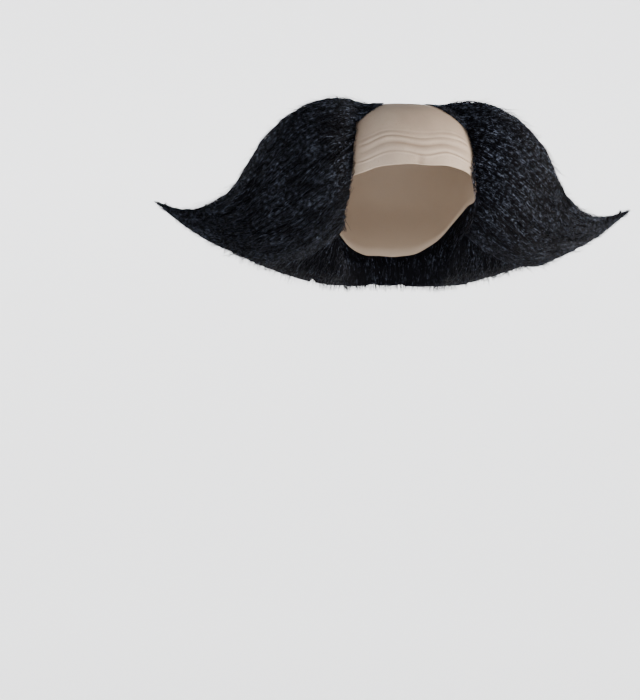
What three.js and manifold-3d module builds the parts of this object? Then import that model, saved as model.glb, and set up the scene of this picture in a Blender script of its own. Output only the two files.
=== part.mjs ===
// A clown wig: a bald cap of thin latex with a big frizzy tuft on each side and hair round the back.
// Millimetres. +Z is up, the wig faces -Y, the wearer's left is +X.
// The origin is the inside of the cap's crown, where the head carries it.
import * as THREE from 'three';
import Module from 'manifold-3d';
import { mergeVertices } from 'three/addons/utils/BufferGeometryUtils.js';

const wasm = await Module();
wasm.setup();

// Head that the cap fits
const headHalfWidth = 77.5;
const headFront = 93.5; // from the middle of the crown forward to the brow
const headBack = 99.5; // from the middle of the crown back to the back of the head
const headRise = 95; // from the widest level up to the crown
const neckDepth = 175; // from the crown down to the neck
const neckShare = 0.74; // size of the neck as a share of the head
const planSquareness = 2.3;
const sideSquareness = 3;
const frontSquareness = 2.5;

// Cap
const wall = 1.5;
const browEdgeDepth = 67.5; // from the crown down to the front edge
const furrowCount = 4;
const furrowPitch = 8;
const firstFurrow = 12; // from the front edge up to the lowest furrow
const furrowRelief = 1;
const browWave = 2.5; // how far the furrows rise over each brow
const furrowFullTurn = 36; // degrees each side of the middle
const furrowEndTurn = 47;
const frownLength = 13;
const frownRelief = 0.5;
const frownHalfTurn = 1.4; // degrees

// Hair
const hairDrop = 197; // from the crown down to the lowest hem
const tuftReach = 174; // from the side of the cap out to the flicked tip
const gap = 0.3; // between neighbouring pieces
const facetAllowance = 0.5; // hair stands this much further off, because its facets are coarser
const backHalfWidth = 88; // the back hair reaches this far each side of the middle
const backStart = 45; // and starts this far behind the middle of the crown
const tuftLocks = 13;
const lockOverlap = 1.3;
const lockHeight = 0.16; // of a lock's width
const tuftLockSteps = 6;
const hangingLockSteps = 5;
const lockSides = 4;
const hangingLockSpacing = 29;
const hangingRootShare = 0.6; // a hanging lock's root lies this share as far out as its end
const lockFlare = 5; // how far a lock's end stands off the form
const lockRootShare = 0.35; // of its full width
const lockFullAt = 0.16; // of its length
const lockTipSize = 0.5;
const shortestEdge = 0.15; // that a cut leaves

// Depth of the cap's edge under the crown, by turn from the brow: a share of the neck's depth
// that is added to the brow edge's depth
const capEdgeRows = [
  { turn: 0, lower: 0 },
  { turn: 22, lower: 0.012 },
  { turn: 36, lower: 0.04 },
  { turn: 48, lower: 0.075 },
  { turn: 64, lower: 0.14 },
  { turn: 82, lower: 0.2 },
  { turn: 100, lower: 0.22 },
  { turn: 118, lower: 0.3 },
  { turn: 135, lower: 0.45 },
  { turn: 155, lower: 0.53 },
  { turn: 180, lower: 0.55 },
];

// Sections of a side tuft. across: share of the cap's half width. out: share of tuftReach.
// top, bottom: shares of hairDrop under the crown. front, back: shares of the cap's lengths.
const tuftRows = [
  { across: 0.25, out: 0, top: 0.055, bottom: 0.31, front: 0.05, back: 0.3 },
  { across: 0.38, out: 0, top: 0.012, bottom: 0.46, front: 0.21, back: 0.38 },
  { across: 0.57, out: 0, top: 0.012, bottom: 0.57, front: 0.41, back: 0.44 },
  { across: 0.72, out: 0, top: 0.008, bottom: 0.64, front: 0.56, back: 0.46 },
  { across: 0.84, out: 0, top: 0.006, bottom: 0.68, front: 0.69, back: 0.48 },
  { across: 0.98, out: 0, top: 0.006, bottom: 0.71, front: 0.75, back: 0.5 },
  { across: 1, out: 0.063, top: 0.02, bottom: 0.751, front: 0.77, back: 0.5 },
  { across: 1, out: 0.167, top: 0.051, bottom: 0.807, front: 0.75, back: 0.5 },
  { across: 1, out: 0.264, top: 0.102, bottom: 0.843, front: 0.69, back: 0.5 },
  { across: 1, out: 0.351, top: 0.168, bottom: 0.855, front: 0.61, back: 0.49 },
  { across: 1, out: 0.42, top: 0.249, bottom: 0.85, front: 0.53, back: 0.47 },
  { across: 1, out: 0.466, top: 0.34, bottom: 0.838, front: 0.46, back: 0.46 },
  { across: 1, out: 0.511, top: 0.426, bottom: 0.822, front: 0.4, back: 0.45 },
  { across: 1, out: 0.592, top: 0.503, bottom: 0.79, front: 0.3, back: 0.42 },
  { across: 1, out: 0.678, top: 0.558, bottom: 0.757, front: 0.17, back: 0.38 },
  { across: 1, out: 0.787, top: 0.599, bottom: 0.71, front: 0.04, back: 0.33 },
  { across: 1, out: 0.902, top: 0.604, bottom: 0.645, front: -0.06, back: 0.26 },
  { across: 1, out: 1, top: 0.572, bottom: 0.582, front: -0.147, back: 0.178 },
];

// Sections of the hair behind, from the middle outward, with the same columns
const backRows = [
  { across: 0, out: 0, top: 0.03, bottom: 1, front: -0.23, back: 1.35 },
  { across: 0.34, out: 0, top: 0.015, bottom: 1, front: -0.05, back: 1.34 },
  { across: 0.63, out: 0, top: 0.008, bottom: 1.005, front: 0.05, back: 1.3 },
  { across: 0.89, out: 0, top: 0.01, bottom: 1.0, front: 0, back: 1.23 },
  { across: 1, out: 0.063, top: 0.03, bottom: 0.985, front: -0.08, back: 1.145 },
  { across: 1, out: 0.19, top: 0.09, bottom: 0.955, front: -0.13, back: 1.04 },
  { across: 1, out: 0.3, top: 0.17, bottom: 0.922, front: -0.15, back: 0.93 },
  { across: 1, out: 0.402, top: 0.29, bottom: 0.885, front: -0.17, back: 0.82 },
  { across: 1, out: 0.506, top: 0.46, bottom: 0.84, front: -0.19, back: 0.69 },
  { across: 1, out: 0.62, top: 0.565, bottom: 0.78, front: -0.23, back: 0.55 },
  { across: 1, out: 0.713, top: 0.63, bottom: 0.74, front: -0.29, back: 0.436 },
];

const latex = new THREE.MeshStandardMaterial({ color: 0xcdbca5, roughness: 0.62, metalness: 0 });
const hairFibre = new THREE.MeshStandardMaterial({ color: 0x14171c, roughness: 0.55, metalness: 0 });

const radians = THREE.MathUtils.degToRad;
const lerp = THREE.MathUtils.lerp;
const smoothstep = THREE.MathUtils.smoothstep;

const capHalfWidth = headHalfWidth + wall;
const capFront = headFront + wall;
const capBack = headBack + wall;
const crownTop = wall;
const hairStandOff = wall + gap + facetAllowance;

// Value of a column between the rows of a table, by straight steps
function lookUp(rows, key, at, column) {
  const last = rows.length - 1;
  if (at <= rows[0][key]) return rows[0][column];
  if (at >= rows[last][key]) return rows[last][column];
  const next = rows.findIndex((row) => row[key] > at);
  const share = (at - rows[next - 1][key]) / (rows[next][key] - rows[next - 1][key]);
  return lerp(rows[next - 1][column], rows[next][column], share);
}

function power(value, exponent) {
  return Math.sign(value) * Math.abs(value) ** exponent;
}

// Radius of the head's plan at its widest level, pushed out by `out`
function planRadius(turn, out) {
  const across = Math.abs(Math.sin(turn)) / (headHalfWidth + out);
  const length = Math.cos(turn) > 0 ? headFront : headBack;
  const along = Math.abs(Math.cos(turn)) / (length + out);
  return (across ** planSquareness + along ** planSquareness) ** (-1 / planSquareness);
}

// Meridian of the head from the crown down to a depth: points of radius and height
function meridian(turn, depth, out) {
  const sideways = Math.sin(turn) ** 2;
  const squareness = lerp(frontSquareness, sideSquareness, sideways);
  const radius = planRadius(turn, out);
  const domeSteps = 60;
  const neckSteps = 24;
  const points = [];
  for (let step = 0; step <= domeSteps; step++) {
    const angle = (step / domeSteps) * Math.PI / 2;
    const height = Math.cos(angle) ** (2 / squareness) * (headRise + out) - headRise;
    points.push(new THREE.Vector2(radius * Math.sin(angle) ** (2 / squareness), height));
  }
  for (let step = 1; step <= neckSteps; step++) {
    const height = -lerp(headRise, neckDepth, step / neckSteps);
    const narrowing = (1 - neckShare) * smoothstep(-height, headRise, neckDepth);
    points.push(new THREE.Vector2(radius * (1 - narrowing), height));
  }
  const end = points.findIndex((point) => point.y < -depth);
  if (end < 0) return points;
  const share = (points[end - 1].y + depth) / (points[end - 1].y - points[end].y);
  return [...points.slice(0, end), points[end - 1].clone().lerp(points[end], share)];
}

// Length along a meridian up to each of its points
function runningLengths(points) {
  const lengths = [0];
  for (let step = 1; step < points.length; step++) {
    lengths.push(lengths[step - 1] + points[step].distanceTo(points[step - 1]));
  }
  return lengths;
}

// Point at a share of a meridian's length, with the direction that points away from the head
function alongMeridian(points, lengths, share) {
  const wanted = share * lengths[lengths.length - 1];
  const found = lengths.findIndex((length) => length >= wanted);
  const next = Math.max(found < 0 ? lengths.length - 1 : found, 1);
  const between = (wanted - lengths[next - 1]) / (lengths[next] - lengths[next - 1]);
  const direction = points[next].clone().sub(points[next - 1]).normalize();
  return {
    point: points[next - 1].clone().lerp(points[next], between),
    outward: new THREE.Vector2(-direction.y, direction.x),
  };
}

function capEdgeDepth(turn) {
  const degrees = Math.abs(THREE.MathUtils.radToDeg(turn));
  return browEdgeDepth + neckDepth * lookUp(capEdgeRows, 'turn', degrees, 'lower') - wall;
}

// Volume inside a closed surface, negative where its faces point inward
function signedVolume(vertices, triangles) {
  const corner = (index) => new THREE.Vector3(...vertices[index]);
  return triangles.reduce((sum, [a, b, c]) => sum + corner(a).dot(corner(b).cross(corner(c))) / 6, 0);
}

// A closed solid from a list of vertices and triangles, turned so that its faces point outward
function solid(vertices, triangles) {
  const inward = signedVolume(vertices, triangles) < 0;
  const outward = inward ? triangles.map(([a, b, c]) => [a, c, b]) : triangles;
  const geometry = new THREE.BufferGeometry();
  geometry.setAttribute('position', new THREE.Float32BufferAttribute(vertices.flat(), 3));
  geometry.setIndex(outward.flat());
  const merged = mergeVertices(geometry, 1e-3);
  const mesh = new wasm.Mesh({
    numProp: 3,
    vertProperties: new Float32Array(merged.attributes.position.array),
    triVerts: new Uint32Array(merged.index.array),
  });
  return new wasm.Manifold(mesh);
}

// Triangles between two closed rings of equal count, the second further along the first's normal
function band(first, second, count) {
  const triangles = [];
  for (let side = 0; side < count; side++) {
    const next = (side + 1) % count;
    triangles.push([first + side, first + next, second + next]);
    triangles.push([first + side, second + next, second + side]);
  }
  return triangles;
}

// Triangles from a closed ring to one vertex past it
function fan(ring, tip, count, past) {
  const triangles = [];
  for (let side = 0; side < count; side++) {
    const next = (side + 1) % count;
    triangles.push(past ? [ring + side, ring + next, tip] : [ring + next, ring + side, tip]);
  }
  return triangles;
}

// A closed body through rings of points, closed by a fan at each end
function loft(rings) {
  const count = rings[0].length;
  const vertices = rings.flat();
  const triangles = [];
  for (let ring = 1; ring < rings.length; ring++) {
    triangles.push(...band((ring - 1) * count, ring * count, count));
  }
  const middle = (ring) => [0, 1, 2].map((axis) => ring.reduce((sum, point) => sum + point[axis], 0) / count);
  vertices.push(middle(rings[0]), middle(rings[rings.length - 1]));
  triangles.push(...fan(0, vertices.length - 2, count, false));
  triangles.push(...fan((rings.length - 1) * count, vertices.length - 1, count, true));
  return solid(vertices, triangles);
}

// Turns round the head, closer together across the forehead and at the frown line
function headTurns() {
  const turns = [-frownHalfTurn, 0, frownHalfTurn];
  const frontEnd = 50;
  const frontColumns = 11;
  const sideColumns = 10;
  for (let column = 1; column <= frontColumns; column++) {
    const turn = frownHalfTurn + (frontEnd - frownHalfTurn) * (column / frontColumns);
    turns.push(turn, -turn);
  }
  for (let column = 1; column <= sideColumns; column++) {
    const turn = lerp(frontEnd, 180, column / sideColumns);
    turns.push(turn);
    if (column < sideColumns) turns.push(-turn);
  }
  return turns.sort((a, b) => a - b).map(radians);
}

// Heights of the cap's outer rows above the front edge, and how proud a furrow's bank is there
function furrowRows(frontLength) {
  const quarter = furrowPitch / 4;
  const rows = [{ height: 0, bank: 0 }, { height: (firstFurrow - 2 * quarter) / 2, bank: 0 }];
  const steps = furrowCount * 4;
  for (let step = 0; step <= steps; step++) {
    const fromFurrow = step * quarter - 2 * quarter;
    const bank = Math.abs(Math.sin((Math.PI * fromFurrow) / furrowPitch));
    const fading = step < steps / 2 ? 1 : lerp(1, 0.35, (step - steps / 2) / (steps / 2));
    const edge = step === 0 || step === steps ? 0.5 : 1;
    rows.push({ height: firstFurrow + fromFurrow, bank: bank * fading * edge });
  }
  const top = rows[rows.length - 1].height;
  const crownRows = 7;
  for (let row = 1; row < crownRows; row++) {
    rows.push({ height: lerp(top, frontLength, row / crownRows), bank: 0 });
  }
  return rows;
}

// How strongly the furrows show at a turn, and how far they rise there
function furrowFade(turn) {
  const degrees = Math.abs(THREE.MathUtils.radToDeg(turn));
  return 1 - smoothstep(degrees, furrowFullTurn, furrowEndTurn);
}

function browLift(turn) {
  const degrees = Math.abs(THREE.MathUtils.radToDeg(turn));
  const browTurn = 20;
  return browWave * (0.5 - 0.5 * Math.cos((Math.PI * Math.min(degrees, 2 * browTurn)) / browTurn));
}

function frownAt(turn, height) {
  const middle = Math.abs(turn) < radians(frownHalfTurn) / 2;
  return middle && height > 0 && height < frownLength ? frownRelief : 0;
}

// Ring of points round the head at one height above the front edge, as a share of each meridian
function headRing(turns, share, out, depthAt, lift) {
  return turns.map((turn) => {
    const points = meridian(turn, depthAt(turn), out);
    const { point, outward } = alongMeridian(points, runningLengths(points), lift.share(turn, share));
    const proud = point.clone().addScaledVector(outward, lift.proud(turn));
    return [Math.sin(turn) * proud.x, -Math.cos(turn) * proud.x, proud.y];
  });
}

const plain = { share: (turn, share) => share, proud: () => 0 };

// The bald cap: an outer surface with furrows, a smooth inner one, and a narrow edge between
function makeCap() {
  const turns = headTurns();
  const count = turns.length;
  const front = runningLengths(meridian(0, capEdgeDepth(0), wall));
  const frontLength = front[front.length - 1];
  const rings = [];
  for (const row of furrowRows(frontLength)) {
    const share = 1 - row.height / frontLength;
    const raised = Math.sin(Math.PI * Math.min(row.height / (furrowCount * furrowPitch + firstFurrow), 1));
    const lift = {
      share: (turn, at) => at - (raised * browLift(turn) * furrowFade(turn)) / frontLength,
      proud: (turn) => row.bank * furrowRelief * furrowFade(turn) - frownAt(turn, row.height),
    };
    rings.push(headRing(turns, share, wall, capEdgeDepth, lift));
  }
  const outerRows = rings.length;
  const innerRows = 6;
  for (let row = 0; row < innerRows; row++) {
    rings.push(headRing(turns, (row + 0.6) / (innerRows - 0.4), 0, capEdgeDepth, plain));
  }
  const vertices = [...rings.flat(), [0, 0, crownTop], [0, 0, 0]];
  const outerCrown = vertices.length - 2;
  const triangles = [];
  for (let row = 1; row < outerRows; row++) {
    triangles.push(...band((row - 1) * count, row * count, count));
  }
  triangles.push(...fan((outerRows - 1) * count, outerCrown, count, true));
  for (let row = 1; row < innerRows; row++) {
    triangles.push(...band((outerRows + row - 1) * count, (outerRows + row) * count, count));
  }
  triangles.push(...fan(outerRows * count, outerCrown + 1, count, false));
  triangles.push(...band((rings.length - 1) * count, 0, count));
  return solid(vertices, triangles);
}

// Room that the head, the cap on it and the neck take out of the hair
function makeHeadRoom() {
  const turns = headTurns();
  const rows = 13;
  const rings = [];
  for (let row = 0; row < rows; row++) {
    const share = 1 - row / (rows + 0.5);
    rings.push(headRing(turns, share, hairStandOff, () => neckDepth, plain));
  }
  const below = rings[0].map(([x, y]) => [x, y, -hairDrop * 1.1]);
  rings.unshift(below);
  rings.push(turns.map((turn) => [Math.sin(turn), -Math.cos(turn), hairStandOff]));
  return loft(rings);
}

// Sizes of the section of a tuft or of the hair behind, at a distance x from the middle
function placeRows(rows) {
  return rows.map((row) => ({
    x: row.across * capHalfWidth + row.out * tuftReach,
    top: crownTop - row.top * hairDrop,
    bottom: crownTop - row.bottom * hairDrop,
    front: -row.front * capFront,
    back: row.back * capBack,
  }));
}

// Round a section, 0 degrees faces forward, 90 up, 180 back and 270 down
const tuftLocksFrom = -84;
const tuftLocksTo = 180;
const tuftLockEnds = [1, 0.86, 0.96, 0.76, 0.92]; // shares of tuftReach
const fullFlareShort = 0.2; // a lock that ends this share short of the tip stands off fully
const topRoot = 0.55; // where locks start, as shares of the cap's half width
const frontRoot = 0.75;
const hangingLocksFrom = 98;
const hangingLockEnds = [262, 267, 272];

const tuftSections = placeRows(tuftRows);
const backSections = placeRows(backRows);
const sectionSquareness = 2.2;

// Point of a section at an angle round it
function sectionPoint(sections, x, degrees) {
  const at = (column) => lookUp(sections, 'x', Math.abs(x), column);
  const angle = radians(degrees);
  const exponent = 2 / sectionSquareness;
  const y = lerp(at('front'), at('back'), 0.5 - 0.5 * power(Math.cos(angle), exponent));
  const z = lerp(at('bottom'), at('top'), 0.5 + 0.5 * power(Math.sin(angle), exponent));
  return new THREE.Vector3(x, y, z);
}

function sectionRing(sections, x) {
  const corners = 12;
  return Array.from({ length: corners }, (unused, corner) => {
    return sectionPoint(sections, x, (corner / corners) * 360).toArray();
  });
}

function sectionGirth(sections, x) {
  const ring = sectionRing(sections, x).map((point) => new THREE.Vector3(...point));
  return ring.reduce((sum, point, corner) => sum + point.distanceTo(ring[(corner + 1) % ring.length]), 0);
}

// One lock: a flat strip with six sides that follows a path over a form and ends in a point.
// path gives a point, the outward direction and the half width at a share of the lock's length.
function makeLock(path, steps) {
  const rings = [];
  for (let step = 0; step <= steps; step++) {
    const share = step / steps;
    const { point, outward, halfWidth } = path(share);
    const ahead = path(Math.min(share + 0.02, 1)).point;
    const behind = path(Math.max(share - 0.02, 0)).point;
    const along = ahead.sub(behind).normalize();
    const sideways = new THREE.Vector3().crossVectors(along, outward).normalize();
    const proud = new THREE.Vector3().crossVectors(sideways, along).normalize();
    const rootWidth = Math.min(1, lerp(lockRootShare, 1, share / lockFullAt));
    const half = Math.max(halfWidth * rootWidth * Math.sqrt(1 - share), lockTipSize);
    const ring = [];
    for (let side = 0; side < lockSides; side++) {
      const angle = (side / lockSides) * 2 * Math.PI;
      const corner = point.clone();
      corner.addScaledVector(sideways, half * Math.cos(angle));
      corner.addScaledVector(proud, 2 * lockHeight * half * Math.sin(angle));
      ring.push(corner.toArray());
    }
    rings.push(ring);
  }
  return loft(rings);
}

// Direction away from a form at one of its section points
function outwardFrom(sections, x, degrees) {
  const before = sectionPoint(sections, x, degrees - 4);
  const after = sectionPoint(sections, x, degrees + 4);
  const round = after.sub(before);
  return new THREE.Vector3(0, -round.z, round.y).normalize().negate();
}

// One lock of a side tuft, combed from the hairline out to the flick. The locks start from under
// the tuft and go round its front and its top to its back.
function tuftLock(number) {
  const degrees = lerp(tuftLocksFrom, tuftLocksTo, number / (tuftLocks - 1));
  const end = tuftLockEnds[number % tuftLockEnds.length];
  const faceOn = Math.abs(Math.cos(radians(degrees)));
  const rootX = lerp(topRoot, frontRoot, faceOn) * capHalfWidth;
  const tipX = capHalfWidth + end * tuftReach;
  return makeLock((share) => {
    const x = lerp(rootX, tipX, share);
    const outward = outwardFrom(tuftSections, x, degrees);
    const flare = lockFlare * Math.min(1, (1 - end) / fullFlareShort) * share ** 3;
    return {
      point: sectionPoint(tuftSections, x, degrees).addScaledVector(outward, flare),
      outward,
      halfWidth: (lockOverlap * sectionGirth(tuftSections, x)) / tuftLocks / 2,
    };
  }, tuftLockSteps);
}

// One lock that hangs down behind, fanned from the crown over the back of the head to the hem
function hangingLock(endX, number) {
  const to = hangingLockEnds[number % hangingLockEnds.length];
  return makeLock((share) => {
    const degrees = lerp(hangingLocksFrom, to, share);
    const x = endX * lerp(hangingRootShare, 1, share);
    const outward = outwardFrom(backSections, x, degrees);
    return {
      point: sectionPoint(backSections, x, degrees).addScaledVector(outward, lockFlare * share ** 3),
      outward,
      halfWidth: (lockOverlap * hangingLockSpacing * lerp(hangingRootShare, 1, share)) / 2,
    };
  }, hangingLockSteps);
}

function fuse(solids) {
  return solids.reduce((sum, next) => sum.add(next));
}

function makeTuft() {
  const core = loft(tuftSections.map(({ x }) => sectionRing(tuftSections, x)));
  const locks = Array.from({ length: tuftLocks }, (unused, number) => tuftLock(number));
  return fuse([core, ...locks]);
}

function makeHangingHair() {
  const outward = backSections.map(({ x }) => x);
  const stations = [...outward.slice(1).reverse().map((x) => -x), ...outward];
  const core = loft(stations.map((x) => sectionRing(backSections, x)));
  const locks = [];
  const perSide = Math.floor(backSections[backSections.length - 1].x / hangingLockSpacing);
  for (let number = -perSide; number <= perSide; number++) {
    locks.push(hangingLock(number * hangingLockSpacing, number + perSide));
  }
  return fuse([core, ...locks]);
}

// Block that holds the back hair, grown by a margin
function backBlock(margin) {
  const side = backHalfWidth + margin;
  const near = backStart - margin;
  const far = 2 * capBack;
  const corners = [[-side, near], [side, near], [side, far], [-side, far]];
  return loft([-2 * hairDrop, hairDrop].map((z) => corners.map(([x, y]) => [x, y, z])));
}

function rightHalf() {
  const wide = 2 * (capHalfWidth + tuftReach);
  const corners = [[-wide, -wide], [0, -wide], [0, wide], [-wide, wide]];
  return loft([-2 * hairDrop, hairDrop].map((z) => corners.map(([x, y]) => [x, y, z])));
}

function toMesh(name, manifold, material) {
  const { vertProperties, triVerts, numProp } = manifold.getMesh();
  const geometry = new THREE.BufferGeometry();
  geometry.setAttribute('position', new THREE.BufferAttribute(new Float32Array(vertProperties), numProp));
  geometry.setIndex(new THREE.BufferAttribute(new Uint32Array(triVerts), 1));
  geometry.computeVertexNormals();
  const mesh = new THREE.Mesh(geometry, material);
  mesh.name = name;
  return mesh;
}

// Triangles that still have three corners once corners are joined, less those that lie back to
// back and cancel out
function keptTriangles(triangles, resolve) {
  const kept = new Map();
  for (const [a, b, c] of triangles.map((triangle) => triangle.map(resolve))) {
    if (a === b || b === c || c === a) continue;
    const key = [a, b, c].sort((first, second) => first - second).join();
    if (kept.has(key)) kept.delete(key);
    else kept.set(key, [a, b, c]);
  }
  return [...kept.values()];
}

function edgesOf([a, b, c]) {
  return [[a, b], [b, c], [c, a]];
}

// Edges on which more than two faces meet
function pinchedEdges(triangles) {
  const faces = new Map();
  for (const edge of triangles.flatMap(edgesOf)) {
    const key = [Math.min(...edge), Math.max(...edge)].join();
    faces.set(key, (faces.get(key) ?? 0) + 1);
  }
  return [...faces].filter(([, count]) => count > 2).map(([key]) => key.split(',').map(Number));
}

// A cut piece with the edges closed up that the cut left shorter than shortestEdge, or pinched
function closeShortEdges(piece) {
  const { vertProperties, triVerts } = piece.getMesh();
  const corners = [];
  for (let start = 0; start < vertProperties.length; start += 3) {
    corners.push(new THREE.Vector3().fromArray(vertProperties, start));
  }
  const joinedTo = corners.map((corner, index) => index);
  const resolve = (index) => {
    let found = index;
    while (joinedTo[found] !== found) found = joinedTo[found];
    return found;
  };
  const join = ([from, to]) => {
    joinedTo[resolve(from)] = resolve(to);
  };
  const cut = [];
  for (let start = 0; start < triVerts.length; start += 3) {
    cut.push([...triVerts.slice(start, start + 3)]);
  }
  const isShort = ([from, to]) => corners[from].distanceTo(corners[to]) < shortestEdge;
  cut.flatMap(edgesOf).filter(isShort).forEach(join);
  let triangles = keptTriangles(cut, resolve);
  for (let pinched = pinchedEdges(triangles); pinched.length > 0; pinched = pinchedEdges(triangles)) {
    pinched.forEach(join);
    triangles = keptTriangles(triangles, resolve);
  }
  return solid(corners.map((corner) => corner.toArray()), triangles);
}

// The main body of a cut piece, with the pockets between its locks filled and no crumbs beside it
function mainBody(piece) {
  const largest = (main, next) => (next.volume() > main.volume() ? next : main);
  return closeShortEdges(piece.decompose().reduce(largest));
}

const headRoom = makeHeadRoom();
const hanging = makeHangingHair().subtract(headRoom);
const leftTuft = makeTuft().subtract(headRoom);
const sides = fuse([leftTuft, leftTuft.mirror([1, 0, 0]), hanging]).subtract(backBlock(gap));

const wig = new THREE.Group();
wig.add(toMesh('bald_cap', makeCap(), latex));
wig.add(toMesh('hair_right', mainBody(sides.intersect(rightHalf())), hairFibre));
wig.add(toMesh('hair_left', mainBody(sides.subtract(rightHalf())), hairFibre));
wig.add(toMesh('hair_back', mainBody(hanging.intersect(backBlock(0))), hairFibre));

export default wig;
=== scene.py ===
# %% [markdown]
# # A clown wig with a bald cap
#
# The real wig is a thin latex cap, bald on top, with black frizzy fibre hair fixed to its sides and
# its back. The hair at each side is combed out into a tuft that ends in a flick, and the hair
# behind hangs down to the neck.
#
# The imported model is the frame. It holds the cap and three bodies of hair, all in one shared set of
# axes: the middle of the crown's inside is the origin, +Z is up and the forehead faces -Y. This
# script puts a finished surface on each of them.

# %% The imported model
import math

import bpy
import numpy as np
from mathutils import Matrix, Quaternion, Vector, noise
from mathutils.bvhtree import BVHTree


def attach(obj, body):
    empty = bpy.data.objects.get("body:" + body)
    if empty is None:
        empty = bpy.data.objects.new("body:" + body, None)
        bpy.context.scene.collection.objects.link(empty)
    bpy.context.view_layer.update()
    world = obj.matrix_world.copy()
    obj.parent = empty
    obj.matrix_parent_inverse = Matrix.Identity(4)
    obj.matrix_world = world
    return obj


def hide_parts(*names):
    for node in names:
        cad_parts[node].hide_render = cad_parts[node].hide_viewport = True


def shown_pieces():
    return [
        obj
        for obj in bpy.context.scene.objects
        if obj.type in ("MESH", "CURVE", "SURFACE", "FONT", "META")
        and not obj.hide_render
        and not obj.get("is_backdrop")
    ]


MM = 0.001
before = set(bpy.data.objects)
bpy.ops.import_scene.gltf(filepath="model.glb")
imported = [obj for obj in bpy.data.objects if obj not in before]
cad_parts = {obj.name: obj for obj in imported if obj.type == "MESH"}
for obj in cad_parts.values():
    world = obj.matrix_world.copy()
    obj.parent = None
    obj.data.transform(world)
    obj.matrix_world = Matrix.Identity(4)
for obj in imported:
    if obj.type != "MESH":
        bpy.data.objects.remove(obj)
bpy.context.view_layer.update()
print("nodes:", ", ".join(sorted(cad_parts)))

# %% [markdown]
# ## The camera
#
# A picture is easiest to match when the camera comes first. The wig is seen almost level, from a
# little to its right side, and the picture is slightly rolled. A camera can be moved sideways to
# place the subject, but that changes the angle it is seen at. Turning the camera on the spot keeps
# that angle, so this one stands on the line of sight and then turns until the crown is in its place.

# %% Camera
view_azimuth = math.radians(-12)
view_elevation = math.radians(-2)
view_roll = math.radians(0.7)
view_distance = 1.7
picture_width = 640
picture_height = 700
pixels_per_metre = 925
sight = Vector((0, 0, -95 * MM))
sight_across = 399  # where the sight point lies in the picture, in pixels
sight_down = 194

back = Vector((
    math.sin(view_azimuth) * math.cos(view_elevation),
    -math.cos(view_azimuth) * math.cos(view_elevation),
    math.sin(view_elevation),
))
camera_data = bpy.data.cameras.new("camera")
camera_data.sensor_width = 36
camera_data.lens = pixels_per_metre * view_distance * camera_data.sensor_width / picture_height
camera = bpy.data.objects.new("camera", camera_data)
bpy.context.scene.collection.objects.link(camera)
bpy.context.scene.camera = camera
camera.location = sight + back * view_distance
camera.rotation_mode = "QUATERNION"

focal_pixels = pixels_per_metre * view_distance
across = math.atan((sight_across - picture_width / 2) / focal_pixels)
down = math.atan((sight_down - picture_height / 2) / focal_pixels)
level = (-back).to_track_quat("-Z", "Y")
turned = Quaternion((0, 1, 0), across) @ Quaternion((1, 0, 0), down)
roll = Quaternion((0, 0, 1), view_roll)
camera.rotation_quaternion = level @ turned @ roll
print("lens in mm:", round(camera_data.lens, 1))

# %% [markdown]
# ## The form of the head
#
# Cap and hair both sit on a head, so its form comes first, as a few formulas. Seen from above it is
# a rounded oval, a superellipse, longer behind the crown than before it. Seen from the side it is a
# dome down to its widest level, and narrows to the neck below that. A sculpted head would give more
# character, but formulas can be asked for any point, and for how far outside the head a point lies.

# %% Sizes of the head
head_half_width = 77.5 * MM
head_front = 93.5 * MM
head_back = 99.5 * MM
head_rise = 95 * MM
neck_depth = 175 * MM
neck_share = 0.74
plan_squareness = 2.3
side_squareness = 3.0
front_squareness = 2.5
wall = 1.5 * MM
hair_drop = 197 * MM

cap_half_width = head_half_width + wall
cap_front = head_front + wall
cap_back = head_back + wall
crown_top = wall


# %% The head's formulas
def smooth_share(value, start, end):
    share = np.clip((value - start) / (end - start), 0, 1)
    return share * share * (3 - 2 * share)


def signed_power(value, exponent):
    return np.sign(value) * np.abs(value) ** exponent


def plan_radius(turn, out):
    """Radius of the head's plan. A turn of 0 faces the brow, and a positive one the left ear."""
    length = np.where(np.cos(turn) > 0, head_front, head_back) + out
    across = np.abs(np.sin(turn)) / (head_half_width + out)
    along = np.abs(np.cos(turn)) / length
    return (across**plan_squareness + along**plan_squareness) ** (-1 / plan_squareness)


def dome_squareness(turn):
    return front_squareness + (side_squareness - front_squareness) * np.sin(turn) ** 2


def neck_narrowing(height):
    return 1 - (1 - neck_share) * smooth_share(-height, head_rise, neck_depth)


def meridian(turn, out):
    """Radius, height and running length down the head at one turn, from the crown to the hem."""
    angle = np.linspace(0, np.pi / 2, 90)
    power = 2 / dome_squareness(turn)
    radius = plan_radius(turn, out)
    dome_radius = radius * np.sin(angle) ** power
    dome_height = np.cos(angle) ** power * (head_rise + out) - head_rise
    neck_height = -np.linspace(head_rise, neck_depth, 24)[1:]
    neck_radius = radius * neck_narrowing(neck_height)
    radii = np.concatenate([dome_radius, neck_radius, neck_radius[-1:]])
    heights = np.concatenate([dome_height, neck_height, [-1.1 * hair_drop]])
    steps = np.hypot(np.diff(radii), np.diff(heights))
    return radii, heights, np.concatenate([[0], np.cumsum(steps)])


def head_share(points, out):
    """How far out points lie, as a share: 1 on the head's form pushed out by `out`, less inside."""
    x, y, z = points[..., 0], points[..., 1], points[..., 2]
    turn = np.arctan2(x, -y)
    radius = np.hypot(x, y) / plan_radius(turn, out)
    rise = np.maximum(z + head_rise, 0) / (head_rise + out)
    power = dome_squareness(turn)
    return np.where(
        z > -head_rise,
        (radius**power + rise**power) ** (1 / power),
        radius / neck_narrowing(z),
    )


_, crown_heights, crown_lengths = meridian(0, wall)
print("cap over the brow, from crown to hem, mm:", round(crown_lengths[-1] / MM))

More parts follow.
